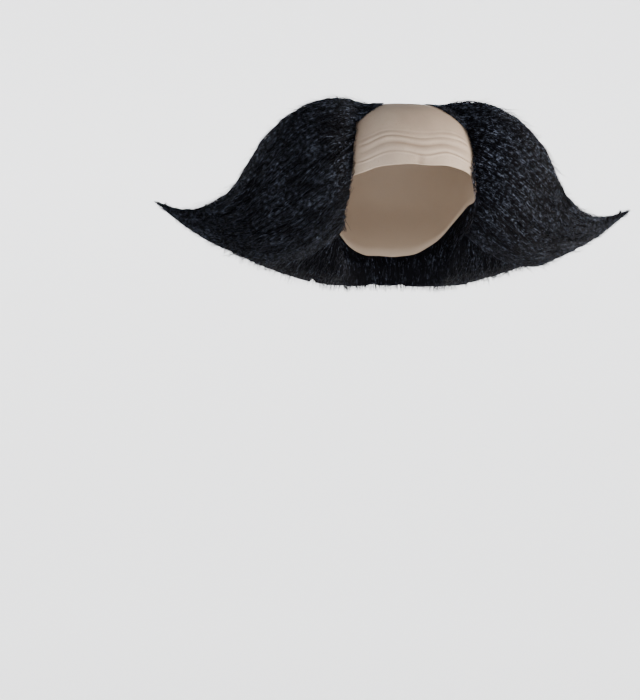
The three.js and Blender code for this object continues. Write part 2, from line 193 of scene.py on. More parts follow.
# %% [markdown]
# ## The latex cap
#
# The real cap is cast in a mould, and its brow carries soft furrows like folds of skin. They rise
# over each brow like a gull's wings, with a short upright line between them. A displacement texture
# could make them, but an exact mesh is better here: rings of points go round the cap at many
# heights, and each point is pushed out along the surface by the furrow's height there. The
# furrows wander a little and differ in depth, because no real fold is ruled with a pen. The shell
# has an inside too, since the face opening shows it.

# %% Sizes of the cap
brow_edge_depth = 67.5 * MM
furrow_count = 4
furrow_pitch = 8 * MM
first_furrow = 12 * MM
furrow_relief = 1.35 * MM
brow_wave = 2.5 * MM
furrow_full_turn = 36
furrow_end_turn = 47
frown_length = 13 * MM
frown_relief = 0.9 * MM
frown_half_turn = 2.4

# degrees round from the brow, and how much lower the edge lies there, as a share of the neck depth
edge_turns = [0, 22, 36, 48, 64, 82, 100, 118, 135, 155, 180]
edge_lowering = [0, 0.012, 0.04, 0.075, 0.14, 0.2, 0.22, 0.3, 0.45, 0.53, 0.55]


def cap_edge_depth(turn):
    """The depth of the cap's edge under the origin. Averaging over a few degrees rounds its corners."""
    near = np.abs(np.degrees(turn))[..., None] + np.arange(-9, 10)
    near = 180 - np.abs(180 - np.abs(near))
    lowering = np.interp(near, edge_turns, edge_lowering).mean(-1)
    trimming = 0.5 * np.sin(9 * turn + 1) + 0.3 * np.sin(17 * turn)
    return brow_edge_depth + neck_depth * lowering - wall + trimming * MM


# %% Furrows
def brow_lift(turn):
    degrees = np.minimum(np.abs(np.degrees(turn)), 40)
    return brow_wave * (0.5 - 0.5 * np.cos(np.pi * degrees / 20))


def furrow_at(turn, height):
    """How far the latex stands out, and how deep in a valley it lies, above the front edge."""
    degrees = np.abs(np.degrees(turn))
    wander = 0.7 * np.sin(7 * turn + 0.5) + 0.5 * np.sin(12 * turn + height / (9 * MM))
    from_first = height - brow_lift(turn) - first_furrow + wander * MM
    from_first = from_first + 1.2 * MM * np.sin(2 * np.pi * from_first / (2.6 * furrow_pitch) + 0.9)
    top = (furrow_count - 0.5) * furrow_pitch
    inside = smooth_share(from_first, -0.5 * furrow_pitch, -0.2 * furrow_pitch)
    inside = inside * (1 - smooth_share(from_first, top - 0.4 * furrow_pitch, top))
    fading = 1 - 0.65 * smooth_share(from_first, 0.4 * top, top)
    sideways = 1 - smooth_share(degrees, furrow_full_turn, furrow_end_turn)
    strength = inside * fading * sideways
    uneven_strength = 0.72 + 0.28 * np.sin(5 * turn + 1.7 * from_first / furrow_pitch)
    strength = strength * uneven_strength
    wave = 0.5 - 0.5 * np.cos(2 * np.pi * from_first / furrow_pitch)
    bank = wave**0.62
    frown = np.exp(-((degrees / frown_half_turn) ** 2))
    frown = frown * (1 - smooth_share(height, 0.6 * frown_length, frown_length))
    proud = furrow_relief * bank * strength - frown_relief * frown * smooth_share(height, 0, 3 * MM)
    # The valley value is used later as a mask for painted shade in the furrows and the frown line.
    valley = np.clip((1 - bank) ** 1.5 * strength + 0.5 * frown, 0, 1)
    return proud, valley


sample_proud, _ = furrow_at(np.radians(10), np.linspace(0, 60 * MM, 200))
print("furrow relief in mm:", round(sample_proud.max() / MM, 2))


# %% Rings of the cap
def uneven(points, size, seed):
    """Soft lumps between -1 and 1, about `size` across."""
    shift = Vector((seed, 2.7 * seed, -1.3 * seed))
    return np.array([noise.noise(Vector(point) / size + shift) for point in points])


cap_turns = np.radians(np.linspace(-180, 180, 240, endpoint=False))
front_length = np.interp(cap_edge_depth(0), -crown_heights, crown_lengths)
furrow_rows = np.linspace(0, 46 * MM, 66)
dome_rows = 46 * MM + (front_length - 46 * MM) * np.linspace(0, 1, 30)[1:-1]
outer_heights = np.concatenate([furrow_rows, dome_rows])
inner_heights = front_length * np.linspace(0, 1, 22)[:-1]


def cap_rings(heights, out, with_furrows):
    """Points round the cap, one ring for each height above the front edge, and the valleys' depth."""
    rings = np.zeros((len(heights), len(cap_turns), 3))
    valleys = np.zeros((len(heights), len(cap_turns)))
    for column, turn in enumerate(cap_turns):
        radii, levels, lengths = meridian(turn, out)
        whole = np.interp(cap_edge_depth(turn), -levels, lengths)
        at = (1 - heights / front_length) * whole
        radius = np.interp(at, lengths, radii)
        level = np.interp(at, lengths, levels)
        slope_out = np.interp(at + 0.5 * MM, lengths, levels) - np.interp(at - 0.5 * MM, lengths, levels)
        slope_up = np.interp(at + 0.5 * MM, lengths, radii) - np.interp(at - 0.5 * MM, lengths, radii)
        steep = np.hypot(slope_out, slope_up)
        proud, valley = furrow_at(turn, heights)
        if with_furrows:
            radius = radius - proud * slope_out / steep
            level = level + proud * slope_up / steep
        rings[:, column] = np.stack([np.sin(turn) * radius, -np.cos(turn) * radius, level], 1)
        valleys[:, column] = valley
    return rings, valleys


outer_rings, outer_valleys = cap_rings(outer_heights, wall, True)
inner_rings, inner_valleys = cap_rings(inner_heights, 0, False)
lumps = uneven(outer_rings.reshape(-1, 3), 22 * MM, 3).reshape(outer_rings.shape[:2])
outer_rings *= (1 + 0.0022 * lumps * smooth_share(outer_heights, 0, 8 * MM)[:, None])[..., None]
print("outer rings:", outer_rings.shape[0], "of", outer_rings.shape[1], "points")


# %% Meshes from rings and from plain lists
def make_object(name, vertices, triangles, attributes):
    """A smooth mesh object of triangles, with named numbers at its vertices."""
    mesh = bpy.data.meshes.new(name)
    mesh.vertices.add(len(vertices))
    mesh.vertices.foreach_set("co", np.asarray(vertices, dtype=np.float32).ravel())
    mesh.loops.add(3 * len(triangles))
    mesh.loops.foreach_set("vertex_index", np.asarray(triangles, dtype=np.int32).ravel())
    mesh.polygons.add(len(triangles))
    mesh.polygons.foreach_set("loop_start", np.arange(0, 3 * len(triangles), 3, dtype=np.int32))
    mesh.update(calc_edges=True)
    mesh.validate()
    for title, values in attributes.items():
        layer = mesh.attributes.new(title, "FLOAT", "POINT")
        layer.data.foreach_set("value", np.asarray(values, dtype=np.float32).ravel())
    mesh.shade_smooth()
    made = bpy.data.objects.new(name, mesh)
    bpy.context.scene.collection.objects.link(made)
    print(name, "triangles:", len(triangles))
    return made


def loft(rings):
    """Vertices and triangles of a closed skin through rings, with a point at each end."""
    count = rings.shape[1]
    vertices = rings.reshape(-1, 3)
    ends = np.array([rings[0].mean(0), rings[-1].mean(0)])
    side = np.arange(count)
    after = (side + 1) % count
    starts = np.arange(len(rings) - 1)[:, None] * count
    first = np.stack([starts + side, starts + after, starts + count + after], -1).reshape(-1, 3)
    second = np.stack([starts + side, starts + count + after, starts + count + side], -1).reshape(-1, 3)
    last = (len(rings) - 1) * count
    opening = np.stack([after, side, np.full(count, len(vertices))], -1)
    closing = np.stack([last + side, last + after, np.full(count, len(vertices) + 1)], -1)
    return np.concatenate([vertices, ends]), np.concatenate([first, second, opening, closing])


# %% The cap's mesh
lip = 0.5 * (outer_rings[:1] + inner_rings[:1])
lip[..., 2] -= 0.35 * MM
cap_all_rings = np.concatenate([outer_rings[::-1], lip, inner_rings])
cap_vertices, cap_triangles = loft(cap_all_rings)
# The lip gets a little of the same painted shade.
lip_valleys = np.full((1, len(cap_turns)), 0.15)
cap_valleys = np.concatenate([outer_valleys[::-1], lip_valleys, 0 * inner_valleys]).ravel()
cap_inside = np.concatenate([np.zeros(outer_valleys.size), np.ones(lip_valleys.size + inner_valleys.size)])
latex_cap = make_object(
    "latex_cap",
    cap_vertices,
    cap_triangles[:, ::-1],
    {"valley": np.append(cap_valleys, [0, 0]), "inside": np.append(cap_inside, [0, 1])},
)


# %% [markdown]
# ## Latex
#
# Cast latex is matt and slightly uneven in colour: yellower where it is thick. One flat colour would
# look like plastic. Here a broad and a fine noise mix three close beiges, the mesh's own record of its
# valleys darkens the furrows and the frown line as painted shade, and a small bump gives the
# skin-like surface that the mould leaves.

# %% Colours and a node helper
def colour(red, green, blue):
    """A colour as a picture gives it, 0 to 255, turned into the linear values that shaders use."""
    values = np.array([red, green, blue]) / 255
    linear = np.where(values <= 0.04045, values / 12.92, ((values + 0.055) / 1.055) ** 2.4)
    return (*linear, 1.0)


def new_material(name):
    material = bpy.data.materials.new(name)
    material.use_nodes = True
    nodes = material.node_tree.nodes
    return material, nodes, material.node_tree.links, nodes["Principled BSDF"]


def noise_node(nodes, links, place, scale, detail, roughness):
    texture = nodes.new("ShaderNodeTexNoise")
    texture.inputs["Scale"].default_value = scale
    texture.inputs["Detail"].default_value = detail
    texture.inputs["Roughness"].default_value = roughness
    links.new(place, texture.inputs["Vector"])
    return texture


def mix_colours(nodes, links, factor, first, second):
    mixed = nodes.new("ShaderNodeMix")
    mixed.data_type = "RGBA"
    links.new(factor, mixed.inputs["Factor"])
    for socket, value in ((mixed.inputs[6], first), (mixed.inputs[7], second)):
        if isinstance(value, tuple):
            socket.default_value = value
        else:
            links.new(value, socket)
    return mixed.outputs[2]


def stretched(nodes, links, value, low, high):
    """The value spread from 0 at `low` to 1 at `high`."""
    node = nodes.new("ShaderNodeMapRange")
    node.inputs["From Min"].default_value = low
    node.inputs["From Max"].default_value = high
    links.new(value, node.inputs["Value"])
    return node.outputs["Result"]


def attribute_value(nodes, title):
    node = nodes.new("ShaderNodeAttribute")
    node.attribute_name = title
    return node.outputs["Fac"]


# %% The latex material
latex, nodes, links, shader = new_material("latex")
place = nodes.new("ShaderNodeTexCoord").outputs["Object"]
broad = noise_node(nodes, links, place, 28, 3, 0.55)
fine = noise_node(nodes, links, place, 420, 3, 0.6)
pores = noise_node(nodes, links, place, 1500, 2, 0.5)
warm = mix_colours(
    nodes, links, stretched(nodes, links, broad.outputs["Fac"], 0.35, 0.68),
    colour(141, 124, 109), colour(155, 138, 121),
)
mottled = mix_colours(
    nodes, links, stretched(nodes, links, fine.outputs["Fac"], 0.58, 0.8), warm, colour(136, 116, 98)
)
# Painted shade: the furrows' valleys, the frown line and the lip are darkened toward a deep brown.
furrow_painted_shade = mix_colours(
    nodes, links, stretched(nodes, links, attribute_value(nodes, "valley"), 0.1, 1.5),
    mottled, colour(96, 76, 60),
)
# The inside of the shell is one plain beige, a little darker than the outside: painted shade for the
# hollow.
skin_side = mix_colours(nodes, links, attribute_value(nodes, "inside"), furrow_painted_shade, colour(140, 122, 104))
links.new(skin_side, shader.inputs["Base Color"])
links.new(stretched(nodes, links, broad.outputs["Fac"], -0.9, 1.4), shader.inputs["Roughness"])
shader.inputs["Specular IOR Level"].default_value = 0.35
shader.inputs["Subsurface Weight"].default_value = 0.08
shader.inputs["Subsurface Scale"].default_value = 0.003
shader.inputs["Subsurface Radius"].default_value = (1.0, 0.6, 0.4)
fine_bump = nodes.new("ShaderNodeBump")
fine_bump.inputs["Strength"].default_value = 0.35
fine_bump.inputs["Distance"].default_value = 0.25 * MM
links.new(fine.outputs["Fac"], fine_bump.inputs["Height"])
pore_bump = nodes.new("ShaderNodeBump")
pore_bump.inputs["Strength"].default_value = 0.25
pore_bump.inputs["Distance"].default_value = 0.1 * MM
links.new(pores.outputs["Fac"], pore_bump.inputs["Height"])
links.new(fine_bump.outputs["Normal"], pore_bump.inputs["Normal"])
links.new(pore_bump.outputs["Normal"], shader.inputs["Normal"])
latex_cap.data.materials.append(latex)

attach(latex_cap, "root")
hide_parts("bald_cap")
print("latex roughness varies with the broad noise")

# %% [markdown]
# ## The hair's body
#
# Frizzy hair is a springy mass: deep inside it is simply dark, and only the outer fibres are seen
# one by one. So it is made in two layers. The inner layer is a copy of each packed hair body, cut
# finer and softened, so that it keeps the form, the locks, the thin edge along the hairline and the
# room for the head. It is finished in near black with a streaky bump. Thousands of separate strands
# then lie over it.

# %% The dark inner mass
mass_shrink = 0.5 * MM


def hair_mass(name, node):
    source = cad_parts[node]
    work = bpy.data.objects.new(name + "_work", source.data.copy())
    work.matrix_world = source.matrix_world
    bpy.context.scene.collection.objects.link(work)
    weld = work.modifiers.new("weld corners", "WELD")
    weld.merge_threshold = 0.02 * MM
    finer = work.modifiers.new("finer faces", "SUBSURF")
    finer.subdivision_type = "SIMPLE"
    finer.levels = 1
    soften = work.modifiers.new("soften", "SMOOTH")
    soften.factor = 0.5
    soften.iterations = 3
    shrink = work.modifiers.new("shrink", "DISPLACE")
    shrink.strength = -mass_shrink
    shrink.mid_level = 0
    bpy.context.view_layer.update()
    ready = work.evaluated_get(bpy.context.evaluated_depsgraph_get())
    mesh = bpy.data.meshes.new_from_object(ready)
    mesh.name = name
    mesh.transform(work.matrix_world)
    mesh.materials.clear()
    mesh.shade_smooth()
    made = bpy.data.objects.new(name, mesh)
    bpy.context.scene.collection.objects.link(made)
    bpy.data.objects.remove(work)
    print(name, "faces:", len(mesh.polygons))
    return made


mass_right = hair_mass("hair_mass_right", "hair_right")
mass_left = hair_mass("hair_mass_left", "hair_left")
mass_back = hair_mass("hair_mass_back", "hair_back")


# %% Closing the seams of the mass
back_half_width = 88 * MM
back_start = 45 * MM
seam_overlap = 2.2 * MM
for vertex in mass_back.data.vertices:
    if abs(vertex.co.x) > back_half_width - 2.5 * MM:
        vertex.co.x += math.copysign(seam_overlap, vertex.co.x)
    if vertex.co.y < back_start + 2.5 * MM:
        vertex.co.y -= seam_overlap
print("the middle of the back now runs", seam_overlap / MM, "mm into its neighbours")


# %% The skin that strands lie on
def skin_of(masses):
    """The surfaces of several meshes as one tree that finds the nearest place to a point."""
    vertices = []
    faces = []
    for mass in masses:
        first = len(vertices)
        vertices.extend(vertex.co.copy() for vertex in mass.data.vertices)
        faces.extend([first + corner for corner in face.vertices] for face in mass.data.polygons)
    return BVHTree.FromPolygons(vertices, faces)


hair_skin = skin_of((mass_right, mass_left, mass_back))


def settled(paths, low, high, count):
    """The first `count` strands that run near the skin, moved to between two heights over it."""
    deepest = 16 * MM
    kept = []
    for path, lowest, highest in zip(paths, low, high):
        moved = []
        for point, least, most in zip(path, lowest, highest):
            here = Vector(point)
            place, normal, _, _ = hair_skin.find_nearest(here)
            height = (here - place).dot(normal)
            if height < -deepest:
                break
            moved.append(here + normal * (min(max(height, least), most) - height))
        if len(moved) == len(path):
            kept.append(moved)
        if len(kept) == count:
            break
    return np.array(kept)


# %% [markdown]
# ## Where the strands run
#
# Each strand follows the form of the hair. A tuft is described by its sections from the head
# outward: how high, how low, how far forward and how far back it reaches. A strand keeps one angle
# round these sections and runs outward, so all strands close in on the flick. The hair behind has
# its own sections, and its strands start high behind the crown and fan down to the hem. A hair
# particle system could grow the strands, but paths worked out from the form can be measured, and
# they become a plain mesh that any program can open.

# %% Sections of the hair
tuft_reach = 174 * MM
section_squareness = 2.2
tip_growth = 12 * MM  # single fibres reach past the flick

# across: share of the cap's half width. out: share of the reach. top and bottom: shares of the
# drop under the crown. front and back: shares of the cap's lengths.
tuft_rows = [
    (0.25, 0, 0.055, 0.31, 0.05, 0.3),
    (0.38, 0, 0.012, 0.46, 0.21, 0.38),
    (0.57, 0, 0.012, 0.57, 0.41, 0.44),
    (0.72, 0, 0.008, 0.64, 0.56, 0.46),
    (0.84, 0, 0.006, 0.68, 0.69, 0.48),
    (0.98, 0, 0.006, 0.71, 0.75, 0.5),
    (1, 0.063, 0.02, 0.751, 0.77, 0.5),
    (1, 0.167, 0.051, 0.807, 0.75, 0.5),
    (1, 0.264, 0.102, 0.843, 0.69, 0.5),
    (1, 0.351, 0.168, 0.855, 0.61, 0.49),
    (1, 0.42, 0.249, 0.85, 0.53, 0.47),
    (1, 0.466, 0.34, 0.838, 0.46, 0.46),
    (1, 0.511, 0.426, 0.822, 0.4, 0.45),
    (1, 0.592, 0.503, 0.79, 0.3, 0.42),
    (1, 0.678, 0.558, 0.757, 0.17, 0.38),
    (1, 0.787, 0.599, 0.71, 0.04, 0.33),
    (1, 0.902, 0.604, 0.645, -0.06, 0.26),
    (1, 1, 0.572, 0.582, -0.147, 0.178),
]
hanging_rows = [
    (0, 0, 0.03, 1, -0.23, 1.35),
    (0.34, 0, 0.015, 1, -0.05, 1.34),
    (0.63, 0, 0.008, 1.005, 0.05, 1.3),
    (0.89, 0, 0.01, 1.0, 0, 1.23),
    (1, 0.063, 0.03, 0.985, -0.08, 1.145),
    (1, 0.19, 0.09, 0.955, -0.13, 1.04),
    (1, 0.3, 0.17, 0.922, -0.15, 0.93),
    (1, 0.402, 0.29, 0.885, -0.17, 0.82),
    (1, 0.506, 0.46, 0.84, -0.19, 0.69),
    (1, 0.62, 0.565, 0.78, -0.23, 0.55),
    (1, 0.713, 0.63, 0.74, -0.29, 0.436),
]


def place_rows(rows, growth):
    """The sections in metres at even steps outward, smoothed and grown past the last row."""
    table = np.array(rows)
    placed = np.stack([
        table[:, 0] * cap_half_width + table[:, 1] * tuft_reach,
        crown_top - table[:, 2] * hair_drop,
        crown_top - table[:, 3] * hair_drop,
        -table[:, 4] * cap_front,
        table[:, 5] * cap_back,
    ], 1)
    end = placed[-1]
    drift = (end - placed[-2]) * growth / (end[0] - placed[-2, 0])
    level = (end[1] + end[2] + drift[1] + drift[2]) / 2
    depth = (end[3] + end[4] + drift[3] + drift[4]) / 2
    placed = np.vstack([placed, [end[0] + growth, level, level, depth, depth]])
    x = np.arange(placed[0, 0], placed[-1, 0], 1 * MM)
    columns = [np.interp(x, placed[:, 0], placed[:, column]) for column in range(1, 5)]
    softened = []
    for values in columns:
        padded = np.pad(values, 6, mode="reflect", reflect_type="odd")
        softened.append(np.convolve(padded, np.ones(13) / 13, mode="valid"))
    return x, softened


tuft_sections = place_rows(tuft_rows, tip_growth)
hanging_sections = place_rows(hanging_rows, 4 * MM)
tuft_tip = tuft_sections[0][-1]
hanging_end = hanging_sections[0][-1]
print("flick reaches, mm from the middle:", round(tuft_tip / MM))


def section_point(sections, x, angle, lift):
    """Points at an angle round the sections: 0 faces forward, 90 degrees up, 180 back."""
    places, (tops, bottoms, fronts, backs) = sections
    top = np.interp(np.abs(x), places, tops)
    bottom = np.interp(np.abs(x), places, bottoms)
    front = np.interp(np.abs(x), places, fronts)
    behind = np.interp(np.abs(x), places, backs)
    exponent = 2 / section_squareness
    across = 0.5 - 0.5 * signed_power(np.cos(angle), exponent)
    up = 0.5 + 0.5 * signed_power(np.sin(angle), exponent)
    y = front + (behind - front) * across - lift * np.cos(angle)
    z = bottom + (top - bottom) * up + lift * np.sin(angle)
    return np.stack([x + 0 * y, y, z], -1)


def moved_out(points, share):
    """Points moved away from the head's middle, so that they lie at 1 where they lay at `share`."""
    moved = points / share[..., None]
    dome = (points[..., 2] + head_rise) / share - head_rise
    moved[..., 2] = np.where(points[..., 2] > -head_rise, dome, points[..., 2])
    return moved


def clear_of_head(points, out):
    """Moves points that lie inside the head's form straight out to it."""
    return moved_out(points, np.minimum(head_share(points, out), 1))


# %% [markdown]
# ## Strands as one mesh
#
# Each strand is a thin tube with three sides that narrows to a point. Curves with a bevel would be
# easier to edit, but thousands of curve objects are slow. Here all the tubes of one piece are
# worked out together as arrays, and joined into one mesh. Each strand keeps its own tone, which the
# hair material reads: it sets how much painted sheen the strand shows, so that neighbours differ as real
# fibres do.

# %% Tones
def shaded(tone, paths):
    """Tones that grow darker toward the hem, where the fibre lies deep in its own shade."""
    height = paths[:, :, 2].mean(1)
    return tone * (0.35 + 0.65 * smooth_share(height, -185 * MM, -70 * MM))


# %% Tubes from paths
strand_sides = 3


def strand_object(name, paths, thickness, tone):
    """One mesh with a tapering tube along each path. paths is strands x points x 3."""
    count, steps, _ = paths.shape
    along = np.gradient(paths, axis=1)
    along /= np.linalg.norm(along, axis=2, keepdims=True) + 1e-12
    helper = np.array([0.31, 0.52, 0.79])
    first = np.cross(along, helper)
    first /= np.linalg.norm(first, axis=2, keepdims=True) + 1e-12
    second = np.cross(along, first)
    share = np.linspace(0, 1, steps)
    taper = (0.55 + 0.45 * smooth_share(share, 0, 0.25)) * (1 - share**3) ** 0.7
    radius = thickness[:, None] * taper
    rings = []
    for side in range(strand_sides):
        angle = 2 * np.pi * side / strand_sides
        away = first * math.cos(angle) + second * math.sin(angle)
        rings.append(paths[:, :-1] + away[:, :-1] * radius[:, :-1, None])
    tubes = np.stack(rings, 2).reshape(count, -1, 3)
    vertices = np.concatenate([tubes, paths[:, -1:]], 1)
    faces = []
    for step in range(steps - 2):
        for side in range(strand_sides):
            here = step * strand_sides + side
            beside = step * strand_sides + (side + 1) % strand_sides
            faces.append((here, beside, beside + strand_sides))
            faces.append((here, beside + strand_sides, here + strand_sides))
    last = (steps - 2) * strand_sides
    tip = (steps - 1) * strand_sides
    for side in range(strand_sides):
        faces.append((last + side, last + (side + 1) % strand_sides, tip))
    faces.append((2, 1, 0))
    offsets = np.arange(count)[:, None, None] * vertices.shape[1]
    triangles = (np.array(faces)[None] + offsets).reshape(-1, 3)
    tones = np.repeat(tone, vertices.shape[1])
    return make_object(name, vertices.reshape(-1, 3), triangles, {"tone": tones})


def crimped(paths, rng, size, waves):
    """Paths with a wavy crimp of about `size`, each strand with its own waves."""
    count, steps, _ = paths.shape
    share = np.linspace(0, 1, steps)[None, :]
    along = np.gradient(paths, axis=1)
    along /= np.linalg.norm(along, axis=2, keepdims=True) + 1e-12
    side = np.cross(along, rng.normal(size=(count, 1, 3)))
    side /= np.linalg.norm(side, axis=2, keepdims=True) + 1e-12
    other = np.cross(along, side)
    number = rng.uniform(*waves, size=(count, 1))
    start = rng.uniform(0, 2 * np.pi, size=(count, 2, 1))
    height = size[:, None] * (0.4 + 0.6 * share)
    first = height * np.sin(2 * np.pi * number * share + start[:, 0])
    second = height * np.sin(2 * np.pi * number * share + start[:, 1])
    return paths + side * first[..., None] + other * second[..., None]


# %% [markdown]
# ## The side tufts
#
# The tuft's strands start at the hairline or further out, and run toward the flick. Most are short
# and tightly crimped, which makes the frizz. Some are long and lie smoother. Locks about 30 mm wide
# raise and lower the strands a little. Where a strand would start inside the head, its root moves
# out along its own path to the place where the hair leaves the cap, and that makes the hairline.

# %% The tufts' paths
hair_gap = 0.4 * MM
bottom_angle = math.radians(-104)
behind_angle = math.radians(205)


def tuft_root(angle):
    """How far out a tuft's hair leaves the cap, at an angle round its sections."""
    x = np.linspace(19 * MM, 86 * MM, 90)
    points = section_point(tuft_sections, x[None, :], angle[:, None], 0 * MM)
    inside = head_share(points, wall + hair_gap) < 1
    last_inside = np.where(inside.any(1), len(x) - 1 - np.argmax(inside[:, ::-1], 1), 0)
    return x[np.minimum(last_inside + 1, len(x) - 1)]


def risen(rng, count):
    """How much strands rise toward their tips, most of them little."""
    return np.minimum(np.abs(rng.normal(size=(count, 1))), 1.6)


tuft_places, tuft_tops = tuft_sections[0], tuft_sections[1][0]
tuft_steps = np.hypot(np.diff(tuft_places), 0.7 * np.diff(tuft_tops))
tuft_run = np.concatenate([[0], np.cumsum(tuft_steps)])
print("a tuft runs over, in mm:", round(tuft_run[-1] / MM))


def tuft_paths(rng, count, steps, length, lift, spread, roots_share):
    """Paths over one tuft, as for the wig's left side, spaced by how far the surface runs."""
    tries = 2 * count
    angle = rng.uniform(bottom_angle, behind_angle, size=tries)
    root = np.interp(tuft_root(angle), tuft_places, tuft_run)
    free = np.where(rng.uniform(size=tries) < roots_share, 0, rng.uniform(size=tries))
    start = root + free * (tuft_run[-1] - 22 * MM - root)
    last = tuft_run[-1] - 50 * MM * rng.uniform(size=tries) ** 2
    end = np.minimum(start + rng.uniform(*length, size=tries), last)
    share = np.linspace(0, 1, steps)[None, :]
    x = np.interp(start[:, None] + (end - start)[:, None] * share, tuft_run, tuft_places)
    falling = 0.6 * np.cos(angle)[:, None] * (x - x[:, :1]) / tuft_reach
    drift = rng.normal(size=(tries, 1)) * 0.1 + rng.normal(size=(tries, 1)) * 0.16 * share
    sway = angle[:, None] - falling + drift
    ending = 1 - 0.7 * smooth_share(x, 0.75 * tuft_tip, tuft_tip)
    least = rng.uniform(*lift, size=(tries, 1)) + risen(rng, tries) * spread * share**2
    points = section_point(tuft_sections, x, sway, (least + 0.6 * MM) * ending)
    points = clear_of_head(points, wall + hair_gap)
    most = least + 5 * MM + 12 * MM * (x > 0.94 * tuft_tip)
    return settled(points, least * ending, most, count)


flick_y = 16 * MM
flick_z = -112 * MM
far_out = 400 * MM


def slope_paths(rng, count, steps):
    """Paths down the steep outer slope of a tuft toward its flick, laid on it from the side."""
    y = rng.uniform(-40 * MM, 46 * MM, size=count)
    z = rng.uniform(-100 * MM, -22 * MM, size=count)
    along = np.stack([flick_y - y, flick_z - z], 1)
    along /= np.linalg.norm(along, axis=1, keepdims=True)
    reach = rng.uniform(16 * MM, 32 * MM, size=(count, 1)) * np.linspace(0, 1, steps)
    y, z = y[:, None] + along[:, :1] * reach, z[:, None] + along[:, 1:] * reach
    lift = rng.uniform(0.5 * MM, 2.4 * MM, size=(count, 1)) + 0 * y
    paths = []
    for strand in zip(y, z, lift):
        found = [
            hair_skin.ray_cast(Vector((far_out, *place)), Vector((-1, 0, 0)))[0]
            for place in zip(*strand[:2])
        ]
        if None not in found:
            paths.append([point + Vector((over, 0, 0)) for point, over in zip(found, strand[2])])
    paths = np.array(paths)
    steady = np.abs(np.diff(paths[..., 0], axis=1)).max(1) < 14 * MM
    return paths[steady]


def tuft_strands(name, side, seed, long_count, short_count, slope_count):
    rng = np.random.default_rng(seed)
    long_lengths, short_lengths = (60 * MM, 110 * MM), (22 * MM, 42 * MM)
    long_paths = tuft_paths(rng, long_count, 10, long_lengths, (0.2 * MM, 1.6 * MM), 1 * MM, 0.35)
    short_paths = tuft_paths(rng, short_count, 10, short_lengths, (0.2 * MM, 2.6 * MM), 2 * MM, 0.1)
    paths = np.concatenate([long_paths, short_paths, slope_paths(rng, slope_count, 10)])
    paths = crimped(paths, rng, rng.uniform(0.4, 1.4, len(paths)) * MM, (2.0, 3.8))
    paths = clear_of_head(paths, wall + hair_gap)
    paths[..., 0] *= side
    thickness = rng.uniform(0.24, 0.4, len(paths)) * MM
    return strand_object(name, paths, thickness, shaded(rng.uniform(size=len(paths)) ** 1.6, paths))


tuft_right = tuft_strands("tuft_strands_right", -1, 11, 850, 1750, 420)
tuft_left = tuft_strands("tuft_strands_left", 1, 12, 850, 1750, 420)


# %% [markdown]
# ## The hairline
#
# Where hair meets bare latex, the eye looks for a natural edge. The fibres are sewn in along one
# line over the temple, up and round the crown, so short dense strands start on points of that line
# and lean outward over the mass. A hair comb in sculpt mode could lay them. Here a ray finds the
# outermost surface over each point, cap or hair, and the strand is laid on that like a cloth.

# %% Strands along the hairline
# places along the line seen from above, across and forward to back, and the way the hair leans there
hairline_across = np.array([62, 65.5, 67.5, 66.5, 61.5, 53, 41, 30, 25, 24, 22, 16, 6, 0]) * MM
hairline_length = np.array([-65, -59, -50, -42, -41, -44.5, -41.5, -33, -18, 4, 26, 43, 53, 55]) * MM
hairline_askew = np.array([8, 8, 8, 8, 8, 8, 7, 5, 3, 1, 0, 0, 0, 0]) * MM
lean_across = [0.55, 0.6, 0.65, 0.75, 0.8, 0.85, 0.9, 0.95, 1, 1, 0.9, 0.6, 0.3, 0.1]
lean_length = [0.1, 0.15, 0.2, 0.2, 0.15, 0.1, 0.1, 0.15, 0.15, 0.2, 0.4, 0.8, 1, 1]
lean_up = [-0.8, -0.75, -0.65, -0.45, -0.3, -0.2, -0.1, -0.05, 0, 0, 0, 0, 0, 0]


def cap_height(x, y, out):
    """Height of the cap's dome, pushed out, over a place seen from above."""
    turn = np.arctan2(x, -y)
    power = dome_squareness(turn)
    share = np.clip(np.hypot(x, y) / plan_radius(turn, out), 0, 0.9999)
    return (1 - share**power) ** (1 / power) * (head_rise + out) - head_rise


def draped(points, lift):
    """Points laid over the cap, and over the hair wherever hair lies outside the cap."""
    laid = moved_out(points, head_share(points, wall + hair_gap + lift))
    places = laid.reshape(-1, 3)
    far = 400 * MM
    for number, over in enumerate(np.broadcast_to(lift, laid.shape[:-1]).ravel()):
        middle = Vector((0, 0, min(places[number, 2], -head_rise)))
        away = Vector(places[number]) - middle
        reach = away.length
        away.normalize()
        found = hair_skin.ray_cast(middle + away * far, -away, far - reach)[0]
        if found is not None:
            places[number] = found + away * over
    return places.reshape(laid.shape)


